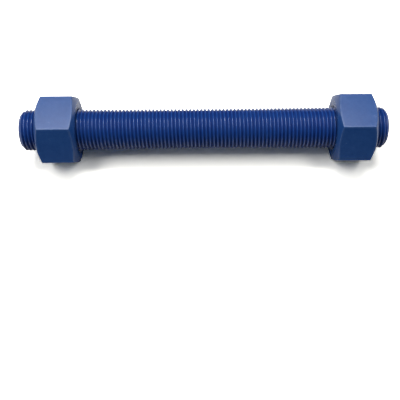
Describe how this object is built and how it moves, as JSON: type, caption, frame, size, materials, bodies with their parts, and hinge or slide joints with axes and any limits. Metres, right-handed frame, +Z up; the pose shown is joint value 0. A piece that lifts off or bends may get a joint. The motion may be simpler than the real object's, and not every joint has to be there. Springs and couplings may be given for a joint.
{
  "type": "fully threaded stud bolt with two heavy hex nuts",
  "caption": "Fully threaded stud bolt with pointed ends, carrying a heavy hexagon nut near each end, in a blue polymer coating.",
  "frame": {"origin": "middle of the stud's length, on its axis", "axes": "+X along the stud towards the right nut, +Z up and square to the flats the nuts rest on, +Y away from the viewer"},
  "size_m": [0.3114, 0.064, 0.0556],
  "materials": {
    "stud_coating": "satin blue fluoropolymer coating on a rolled steel thread",
    "nut_coating": "satin blue fluoropolymer coating on forged steel"
  },
  "bodies": {
    "stud": {"stud": "stud_coating"},
    "left_nut": {"left_nut": "nut_coating"},
    "right_nut": {"right_nut": "nut_coating"}
  },
  "joints": [
    {"name": "left_nut_travel", "type": "slide", "parent": "stud", "child": "left_nut", "axis": [1, 0, 0], "range_m": [-0.04127, 0.10477]},
    {"name": "right_nut_travel", "type": "slide", "parent": "stud", "child": "right_nut", "axis": [-1, 0, 0], "range_m": [-0.0381, 0.10795]}
  ]
}
